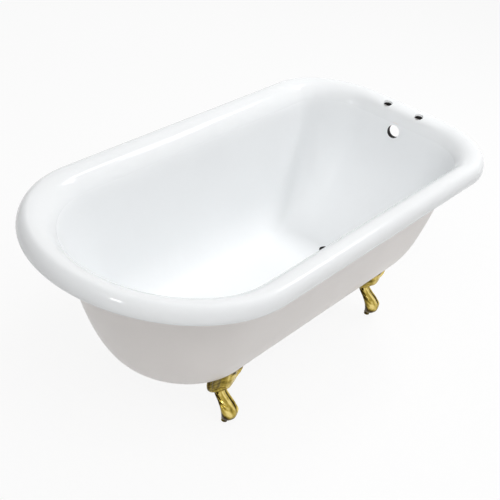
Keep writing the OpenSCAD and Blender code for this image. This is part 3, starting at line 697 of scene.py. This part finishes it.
def apply_tools(piece, tools):
    """Joins or cuts the piece with each (tool, operation), writes the result into its mesh and removes the
    tools."""
    for tool, operation in tools:
        step = piece.modifiers.new(tool.name, "BOOLEAN")
        step.operation = operation
        step.solver = "EXACT"
        step.object = tool
    graph = bpy.context.evaluated_depsgraph_get()
    mesh = bpy.data.meshes.new_from_object(piece.evaluated_get(graph), depsgraph=graph)
    piece.modifiers.clear()
    piece.data = mesh
    for tool, _ in tools:
        bpy.data.objects.remove(tool)
    mesh.polygons.foreach_set("use_smooth", np.ones(len(mesh.polygons), dtype=bool))
    mesh.set_sharp_from_angle(angle=CASTING_EDGE)


# Bosses, lugs and holes of the casting

def end_wall(s, depth):
    """How far out the outer surface of the flat end's wall lies at a depth below the crown."""
    return level_points(s, wall_levels(s, np.array([depth]), s.wall))[0, :, 0].max()


def drain_boss(s, finishes):
    """The boss below the drain, with a cast fillet where it meets the underside."""
    r = s.drain_place[2]
    face = TUB_LOW[2]
    under = s.height - s.basin_depth - s.wall
    return turned(
        "drain_boss", [r - 0.001, r, r, r + 0.001, r + 0.004],
        [face, face + 0.001, under - 0.005, under - 0.002, under + 0.003],
        (s.length/2 - s.drain_place[0], 0, 0), materials=finishes, slot=PAINT)


def overflow_boss(s, finishes):
    """The boss outside the overflow."""
    depth, _, r = s.overflow_place
    face = end_wall(s, depth - r) + 0.003
    return turned(
        "overflow_boss", [r, r, r - 0.001], [end_wall(s, depth) - 0.003, face - 0.001, face],
        (0, 0, s.height - depth), axis="X", materials=finishes, slot=PAINT)


def stud_lug(s, finishes, corner):
    """The lug that a stud stands in, level below and sunk a little into the casting above."""
    x, y = middle("stud_" + corner)[:2]
    low = s.height - s.basin_depth - s.wall - LUG_DROP
    turn = np.radians(np.arange(0.0, 360.0, 15.0))
    r = LUG_RADII[-1]
    top = under_height(s, x + r*np.cos(turn), y + r*np.sin(turn)).max() + LUG_SINK
    return turned(
        "lug_" + corner, LUG_RADII, [low, low + 0.0005, low + 0.003, top],
        (x, y, 0), materials=finishes, slot=PAINT)


def drain_hole(s, finishes):
    """The drain's hole, flared at the top where the enamel rounds over its edge."""
    r = s.drain_place[1]
    top = s.height - s.basin_depth
    turn = np.radians(np.linspace(0.0, 90.0, 7))
    radii = np.concatenate([[r, r], r + DRAIN_ROUND*(1.0 - np.cos(turn)), [r + 0.004]])
    rounding = top - DRAIN_ROUND + DRAIN_ROUND*np.sin(turn) + 0.0002
    below, neck, above = TUB_LOW[2] - 0.005, top - 0.0055, top + 0.02
    return turned(
        "drain_hole", radii, np.concatenate([[below, neck], rounding, [above]]),
        (s.length/2 - s.drain_place[0], 0, 0), n=96, materials=finishes, slot=BARE_IRON_AND_SHADE)


def overflow_hole(s, finishes):
    """The overflow's hole, through the flat end's wall and its boss."""
    depth, r = s.overflow_place[:2]
    inside, outside = end_wall(s, depth) - 0.045, TUB_HIGH[0] - 0.040
    return turned(
        "overflow_hole", [r, r], [inside, outside],
        (0, 0, s.height - depth), axis="X", n=96, materials=finishes, slot=BARE_IRON_AND_SHADE)


def tap_hole(s, finishes, side):
    """The right or left hole through the rim for a tap's tail, lined with enamel."""
    inset, r, half_spacing = s.tap_place
    y = half_spacing if side == "left" else -half_spacing
    below, above = s.height - 0.045, s.height + 0.010
    return turned(
        "tap_hole_" + side, [r, r], [below, above],
        (s.length/2 - inset, y, 0), materials=finishes, slot=ENAMEL)


# Finishes

def new_material(name):
    """A node material, its tree and its Principled shader."""
    material = bpy.data.materials.new(name)
    material.use_nodes = True
    tree = material.node_tree
    return material, tree, tree.nodes["Principled BSDF"]


def add_noise(tree, scale, detail, stretch=(1.0, 1.0, 1.0)):
    """Noise on the piece's own coordinates, in metres, with the given features per metre."""
    place = tree.nodes.new("ShaderNodeTexCoord")
    mapping = tree.nodes.new("ShaderNodeMapping")
    mapping.inputs["Scale"].default_value = stretch
    noise = tree.nodes.new("ShaderNodeTexNoise")
    noise.inputs["Scale"].default_value = scale
    noise.inputs["Detail"].default_value = detail
    tree.links.new(place.outputs["Object"], mapping.inputs["Vector"])
    tree.links.new(mapping.outputs["Vector"], noise.inputs["Vector"])
    return noise.outputs["Fac"]


def add_ramp(tree, factor, stops):
    """A colour ramp with (position, colour) stops, driven by factor."""
    ramp = tree.nodes.new("ShaderNodeValToRGB")
    while len(ramp.color_ramp.elements) < len(stops):
        ramp.color_ramp.elements.new(0.5)
    for element, (position, colour) in zip(ramp.color_ramp.elements, stops):
        element.position = position
        element.color = tuple(colour)[:3] + (1.0,)
    tree.links.new(factor, ramp.inputs["Fac"])
    return ramp.outputs["Color"]


def add_bump(tree, shader, height, strength, distance):
    """Bump on the shader from a pattern between 0 and 1, which stands for a height of the given distance."""
    bump = tree.nodes.new("ShaderNodeBump")
    bump.inputs["Strength"].default_value = strength
    bump.inputs["Distance"].default_value = distance
    tree.links.new(height, bump.inputs["Height"])
    tree.links.new(bump.outputs["Normal"], shader.inputs["Normal"])


def tinted(colour, k):
    """The colour times k, held under 1."""
    return tuple(min(c*k, 1.0) for c in colour)


def vitreous_enamel(finishes):
    """White glass fused on iron: a slightly uneven white, glossy on the rim and dulled by cleaning in the
    basin."""
    material, tree, shader = new_material("white_enamel")
    cloud = add_noise(tree, 3.0, 2.0)
    colour = add_ramp(tree, cloud, [
        (0.3, tinted(finishes.enamel, 0.985)), (0.7, tinted(finishes.enamel, 1.01))])
    tree.links.new(colour, shader.inputs["Base Color"])
    place = tree.nodes.new("ShaderNodeTexCoord")
    height = tree.nodes.new("ShaderNodeSeparateXYZ")
    tree.links.new(place.outputs["Object"], height.inputs[0])
    low, high = (TUB_HIGH[2] - depth for depth in GLOSS_DEPTHS)
    dull = add_ramp(tree, height.outputs["Z"], [(low, (0.34,)*3), (high, (0.05,)*3)])
    uneven = tree.nodes.new("ShaderNodeMath")
    uneven.operation = "MULTIPLY_ADD"
    uneven.inputs[1].default_value = 0.05
    tree.links.new(add_noise(tree, 12.0, 3.0), uneven.inputs[0])
    tree.links.new(dull, uneven.inputs[2])
    tree.links.new(uneven.outputs[0], shader.inputs["Roughness"])
    shader.inputs["Specular IOR Level"].default_value = 0.35
    add_bump(tree, shader, add_noise(tree, 22.0, 2.0), 0.12, 0.004)
    return material


def outside_paint(finishes):
    """Satin paint over sand-cast iron: fine dimples and slow changes of tone."""
    material, tree, shader = new_material("outside_paint")
    cloud = add_noise(tree, 2.2, 3.0)
    colour = add_ramp(tree, cloud, [(0.3, tinted(finishes.paint, 0.97)), (0.7, tinted(finishes.paint, 1.02))])
    tree.links.new(colour, shader.inputs["Base Color"])
    rough = add_ramp(tree, add_noise(tree, 30.0, 3.0), [(0.3, (0.34,)*3), (0.7, (0.44,)*3)])
    tree.links.new(rough, shader.inputs["Roughness"])
    add_bump(tree, shader, add_noise(tree, 160.0, 3.0), 0.10, 0.0012)
    return material


def bare_iron_and_shade(finishes):
    """Near-black iron in the holes and inside the roll, with faint marks: bare iron, whose near-black also
    paints the shade that falls there.
    """
    material, tree, shader = new_material("bare_iron_and_shade")
    colour = add_ramp(tree, add_noise(tree, 90.0, 4.0),
                      [(0.35, tinted(finishes.bare_iron_and_shade, 0.7)), (0.7, tinted(finishes.bare_iron_and_shade, 1.5))])
    tree.links.new(colour, shader.inputs["Base Color"])
    shader.inputs["Metallic"].default_value = 0.3
    shader.inputs["Roughness"].default_value = 0.7
    add_bump(tree, shader, add_noise(tree, 400.0, 2.0, (1.0, 1.0, 4.0)), 0.3, 0.0004)
    return material


def old_brass(finishes, name, rough, tone):
    """Brass from rubbed bright to dark patina, and on the feet also painted highlights and painted shade, as
    their tone attribute gives. Its tone is a plain value or an attribute's name, and a fine cloud of noise
    mottles it. It is duller where it is darker."""
    material, tree, shader = new_material(name)
    shader.inputs["Metallic"].default_value = 1.0
    cloud = tree.nodes.new("ShaderNodeMath")
    cloud.operation = "MULTIPLY_ADD"
    cloud.inputs[1].default_value = BRASS_CLOUD[0]
    tree.links.new(add_noise(tree, 70.0, 3.0, (1.0, 1.0, 0.6)), cloud.inputs[0])
    if isinstance(tone, str):
        attribute = tree.nodes.new("ShaderNodeAttribute")
        attribute.attribute_name = tone
        shift = tree.nodes.new("ShaderNodeMath")
        shift.operation = "ADD"
        shift.inputs[1].default_value = BRASS_CLOUD[1]
        tree.links.new(attribute.outputs["Fac"], shift.inputs[0])
        tree.links.new(shift.outputs[0], cloud.inputs[2])
    else:
        cloud.inputs[2].default_value = tone + BRASS_CLOUD[1]
    colour = add_ramp(tree, cloud.outputs[0], [
        (0.0, finishes.rubbed_and_highlit_brass), (0.38, finishes.brass),
        (0.72, tinted(finishes.brass, 0.42)), (1.0, finishes.patina_and_shade)])
    tree.links.new(colour, shader.inputs["Base Color"])
    dull = add_ramp(tree, cloud.outputs[0], [(0.2, (rough,)*3), (0.9, (rough + 0.22,)*3)])
    tree.links.new(dull, shader.inputs["Roughness"])
    add_bump(tree, shader, add_noise(tree, 260.0, 3.0), 0.12, 0.0008)
    return material


def zinc_steel(finishes):
    """Zinc-plated steel with a faint spangle."""
    material, tree, shader = new_material("zinc_steel")
    shader.inputs["Metallic"].default_value = 1.0
    colour = add_ramp(tree, add_noise(tree, 180.0, 3.0),
                      [(0.3, tinted(finishes.steel, 0.8)), (0.7, tinted(finishes.steel, 1.15))])
    tree.links.new(colour, shader.inputs["Base Color"])
    rough = add_ramp(tree, add_noise(tree, 90.0, 2.0), [(0.3, (0.28,)*3), (0.7, (0.42,)*3)])
    tree.links.new(rough, shader.inputs["Roughness"])
    add_bump(tree, shader, add_noise(tree, 700.0, 2.0), 0.15, 0.0003)
    return material


# Steps

class BATHTUB_OT_casting(bpy.types.Operator):
    """Build the enamelled iron casting with its holes, bosses and lugs"""
    bl_idname = "bathtub.casting"
    bl_label = "Casting"

    def execute(self, context):
        s = context.scene.tub_sizes
        f = context.scene.tub_finishes
        finishes = (vitreous_enamel(f), outside_paint(f), bare_iron_and_shade(f))
        levels, slots = casting_profile(s)
        verts, quads, fans = closed_loft(level_points(s, levels))
        around = len(fans)//2
        caps = len(CAP_SHARES)
        rows = np.concatenate([[PAINT]*caps, slots, [ENAMEL]*caps])
        indices = np.concatenate([np.repeat(rows[1:], around), [PAINT]*around, [ENAMEL]*around])
        casting = new_piece("tub_casting", verts, (quads, fans), finishes, indices)
        tools = [(drain_boss(s, finishes), "UNION"), (overflow_boss(s, finishes), "UNION")]
        tools += [(stud_lug(s, finishes, corner), "UNION") for corner in CORNERS]
        tools += [(drain_hole(s, finishes), "DIFFERENCE"), (overflow_hole(s, finishes), "DIFFERENCE")]
        tools += [(tap_hole(s, finishes, side), "DIFFERENCE") for side in ("right", "left")]
        apply_tools(casting, tools)
        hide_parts("tub_shell")
        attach(casting, "tub")
        return {"FINISHED"}


class BATHTUB_OT_feet(bpy.types.Operator):
    """Build the four carved brass feet, each with its shelf and its screw's bore"""
    bl_idname = "bathtub.feet"
    bl_label = "Claw feet"

    def execute(self, context):
        s = context.scene.tub_sizes
        z = context.scene.foot_sizes
        brass = old_brass(context.scene.tub_finishes, "old_brass", 0.18, "tone")
        for corner in CORNERS:
            place = middle("levelling_screw_" + corner)
            side = 1.0 if place[1] > 0.0 else -1.0
            rings, tone = foot_rings(s, z, place, side)
            verts, quads, fans = closed_loft(rings, ())
            shelf_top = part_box("washer_" + corner)[1][2] + z.shelf[1]
            stud_y = abs(middle("stud_" + corner)[1])
            shelf, shelf_faces = closed_ring(shelf_rings(z, place, side, stud_y, shelf_top))
            foot = new_piece(
                "claw_foot_" + corner, np.concatenate([verts, shelf]),
                (quads, fans, shelf_faces + len(verts)), (brass,))
            tone = np.concatenate([tone.ravel(), [1.0, 0.5], np.full(len(shelf), 0.6)])
            layer = foot.data.attributes.new("tone", "FLOAT", "POINT")
            layer.data.foreach_set("value", tone.astype(np.float32))
            foot.data.set_sharp_from_angle(angle=FOOT_EDGE)
            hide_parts("foot_" + corner)
            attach(foot, "tub")
        return {"FINISHED"}


class BATHTUB_OT_fittings(bpy.types.Operator):
    """Build the threaded studs, washers, nuts, levelling screws and lock nuts"""
    bl_idname = "bathtub.fittings"
    bl_label = "Fittings"

    def execute(self, context):
        z = context.scene.foot_sizes
        f = context.scene.tub_finishes
        screw_brass = old_brass(f, "screw_brass", 0.28, 0.78)
        steel = zinc_steel(f)
        for corner in CORNERS:
            stud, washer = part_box("stud_" + corner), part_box("washer_" + corner)
            nut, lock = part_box("nut_" + corner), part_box("lock_nut_" + corner)
            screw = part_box("levelling_screw_" + corner)
            place, axis = middle("stud_" + corner), middle("levelling_screw_" + corner)
            r = (stud[1][0] - stud[0][0])/2
            stud_solid = closed_loft(screw_rings(z, r, stud[0][2], stud[1][2], place))
            add_fitting("stud", corner, stud_solid, steel, "tub")
            add_fitting("washer", corner, closed_ring(washer_rings(r, washer, place)), steel, "tub")
            flats = nut[1][1] - nut[0][1]
            nut_solid = closed_ring(nut_rings(flats, r + ROD_GAP, nut[0][2], nut[1][2], place))
            add_fitting("nut", corner, nut_solid, steel, "tub")
            pad_r, low, high = (screw[1][0] - screw[0][0])/2, screw[0][2], screw[1][2]
            shaft = pad_r*SHAFT_SHARE
            turn = np.radians(np.linspace(-90.0, 90.0, 13))
            edge = PAD_HEIGHT/2.0
            pad = [(pad_r - edge + edge*math.cos(v), low + edge + edge*math.sin(v)) for v in turn]
            plain = pad + [(shaft + 0.0006, PAD_HEIGHT)]
            solid = closed_loft(screw_rings(z, shaft, PAD_HEIGHT + 0.0002, high, axis, plain=plain))
            add_fitting("levelling_screw", corner, solid, screw_brass, "screw_" + corner)
            flats = lock[1][1] - lock[0][1]
            lock_solid = closed_ring(nut_rings(flats, shaft + ROD_GAP, lock[0][2], lock[1][2], axis))
            add_fitting("lock_nut", corner, lock_solid, screw_brass, "tub")
        return {"FINISHED"}


class BATHTUB_OT_studio(bpy.types.Operator):
    """Set the camera at the photograph's angle, the pale floor and the soft lamps"""
    bl_idname = "bathtub.studio"
    bl_label = "Studio"

    def execute(self, context):
        studio = context.scene.studio_sizes
        sizes = context.scene.tub_sizes
        set_camera(studio, sizes.height)
        set_floor()
        set_lamps(studio, sizes.height)
        context.scene.view_settings.view_transform = "Standard"
        return {"FINISHED"}


# Studio

def direction(azimuth, elevation):
    """The direction at an azimuth from +X and an elevation, both in radians."""
    level = math.cos(elevation)
    return Vector((math.cos(azimuth)*level, math.sin(azimuth)*level, math.sin(elevation)))


def set_camera(studio, crown):
    """The camera's back axis comes from its azimuth from -Y and its elevation, and its roll turns it about
    that axis."""
    azimuth, elevation, roll = studio.camera_turn
    back = direction(azimuth - math.pi/2, elevation)
    level = Vector((0, 0, 1)).cross(back).normalized()
    up = back.cross(level)
    right = level*math.cos(roll) + up*math.sin(roll)
    top = up*math.cos(roll) - level*math.sin(roll)
    side, rise, distance = studio.camera_place
    place = level*side + up*rise + back*distance + Vector((0, 0, crown))
    data = bpy.data.cameras.new("camera")
    data.lens = studio.lens
    data.sensor_width = 36.0
    data.clip_end = 50.0
    camera = bpy.data.objects.new("camera", data)
    camera.matrix_world = Matrix((
        (right.x, top.x, back.x, place.x), (right.y, top.y, back.y, place.y),
        (right.z, top.z, back.z, place.z), (0, 0, 0, 1)))
    bpy.context.scene.collection.objects.link(camera)
    bpy.context.scene.camera = camera


def seen_rays(tree):
    """1 for rays from the camera and for those that a glossy or clear surface sends on, which show the same
    white."""
    path = tree.nodes.new("ShaderNodeLightPath")
    value = path.outputs["Is Camera Ray"]
    for name in ("Is Glossy Ray", "Is Transmission Ray"):
        more = tree.nodes.new("ShaderNodeMath")
        more.operation = "MAXIMUM"
        tree.links.new(value, more.inputs[0])
        tree.links.new(path.outputs[name], more.inputs[1])
        value = more.outputs[0]
    return value


def set_floor():
    """A large pale floor, shown nearly white to the camera and keeping the tub's soft shadow."""
    material, tree, shader = new_material("pale_floor")
    shader.inputs["Base Color"].default_value = FLOOR_COLOUR
    shader.inputs["Roughness"].default_value = 0.9
    shader.inputs["Specular IOR Level"].default_value = 0.0
    glow = tree.nodes.new("ShaderNodeEmission")
    glow.inputs["Strength"].default_value = 1.0
    glow.inputs["Color"].default_value = WHITE
    mix = tree.nodes.new("ShaderNodeMixShader")
    share = tree.nodes.new("ShaderNodeMath")
    share.operation = "MULTIPLY"
    share.inputs[1].default_value = FLOOR_WHITE
    output = tree.nodes["Material Output"]
    tree.links.new(seen_rays(tree), share.inputs[0])
    tree.links.new(share.outputs[0], mix.inputs[0])
    tree.links.new(shader.outputs[0], mix.inputs[1])
    tree.links.new(glow.outputs[0], mix.inputs[2])
    tree.links.new(mix.outputs[0], output.inputs["Surface"])
    verts = FLOOR_HALF*np.array([[-1, -1, 0], [1, -1, 0], [1, 1, 0], [-1, 1, 0]])
    floor = new_piece("studio_floor", verts, (np.array([[0, 1, 2, 3]]),), (material,))


# Azimuth and elevation of each near-side lamp in degrees, and each glint's size in metres before them
NEAR_LAMPS = ((-151.0, 50.0), (-110.0, 50.0), (-20.0, 40.0))
GLINT_LAMPS = (((0.8, 1.3), (-14.5, 43.0)), ((2.0, 0.8), (-17.0, 36.5)), ((1.2, 1.4), (-173.0, 24.0)))


def set_lamps(studio, crown):
    """Even light from all round, a soft lamp beyond the flat end, one overhead and three along the near side,
    and three narrow ones that only the gloss shows, as the thin highlights on the rim."""
    world = bpy.data.worlds.new("studio_sky")
    bpy.context.scene.world = world
    world.use_nodes = True
    tree = world.node_tree
    sky = tree.nodes["Background"]
    sky.inputs["Color"].default_value = WHITE
    sky.inputs["Strength"].default_value = studio.sky_light
    white = tree.nodes.new("ShaderNodeBackground")
    white.inputs["Color"].default_value = WHITE
    white.inputs["Strength"].default_value = 1.0
    mix = tree.nodes.new("ShaderNodeMixShader")
    tree.links.new(seen_rays(tree), mix.inputs[0])
    tree.links.new(sky.outputs[0], mix.inputs[1])
    tree.links.new(white.outputs[0], mix.inputs[2])
    tree.links.new(mix.outputs[0], tree.nodes["World Output"].inputs["Surface"])
    add_lamp(
        "window", size=(0.7, 0.5), power=studio.window_light, target=(0.45, 0.0, crown - 0.45),
        angles=(-2.0, 53.0), distance=3.2)
    add_lamp(
        "ceiling", size=(3.0, 3.0), power=studio.ceiling_light, target=(0.0, 0.0, crown),
        angles=(0.0, 90.0), distance=2.8)
    for angles, power in zip(NEAR_LAMPS, studio.near_light):
        add_lamp(
            "near_side", size=(2.0, 2.0), power=power, target=(0.0, 0.0, crown - 0.1),
            angles=angles, distance=3.7)
    for (size, angles), power in zip(GLINT_LAMPS, studio.glint_light):
        glint = add_lamp(
            "glint", size=size, power=power, target=(-0.2, 0.0, crown), angles=angles, distance=8.0)
        glint.visible_glossy = True
        glint.visible_diffuse = False


def add_lamp(name, size, power, target, angles, distance):
    """A soft rectangular lamp that faces its target, at an azimuth and elevation in degrees, and that gloss
    leaves out."""
    data = bpy.data.lights.new(name, "AREA")
    data.energy = power
    data.shape = "RECTANGLE"
    data.size, data.size_y = size
    lamp = bpy.data.objects.new(name, data)
    away = direction(*(math.radians(v) for v in angles))
    lamp.location = Vector(target) + away*distance
    lamp.rotation_euler = away.to_track_quat("Z", "Y").to_euler()
    lamp.visible_glossy = False
    bpy.context.scene.collection.objects.link(lamp)
    return lamp


# Panel and registration

class BATHTUB_PT_panel(bpy.types.Panel):
    """Lists the steps that build the bathtub"""
    bl_label = "Bathtub"
    bl_idname = "BATHTUB_PT_panel"
    bl_space_type = "VIEW_3D"
    bl_region_type = "UI"
    bl_category = "Bathtub"

    def draw(self, context):
        for step in STEPS:
            self.layout.operator(step.bl_idname)


STEPS = (BATHTUB_OT_casting, BATHTUB_OT_feet, BATHTUB_OT_fittings, BATHTUB_OT_studio)
CLASSES = (TubSizes, FootSizes, TubFinishes, StudioSizes) + STEPS + (BATHTUB_PT_panel,)


def register():
    for cls in CLASSES:
        bpy.utils.register_class(cls)
    bpy.types.Scene.tub_sizes = bpy.props.PointerProperty(type=TubSizes)
    bpy.types.Scene.foot_sizes = bpy.props.PointerProperty(type=FootSizes)
    bpy.types.Scene.tub_finishes = bpy.props.PointerProperty(type=TubFinishes)
    bpy.types.Scene.studio_sizes = bpy.props.PointerProperty(type=StudioSizes)


def unregister():
    del bpy.types.Scene.studio_sizes
    del bpy.types.Scene.tub_finishes
    del bpy.types.Scene.foot_sizes
    del bpy.types.Scene.tub_sizes
    for cls in reversed(CLASSES):
        bpy.utils.unregister_class(cls)


def main():
    """Builds the studio and the bathtub."""
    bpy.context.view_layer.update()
    register()
    bpy.ops.bathtub.studio()
    bpy.ops.bathtub.casting()
    bpy.ops.bathtub.feet()
    bpy.ops.bathtub.fittings()


if __name__ == "__main__":
    main()
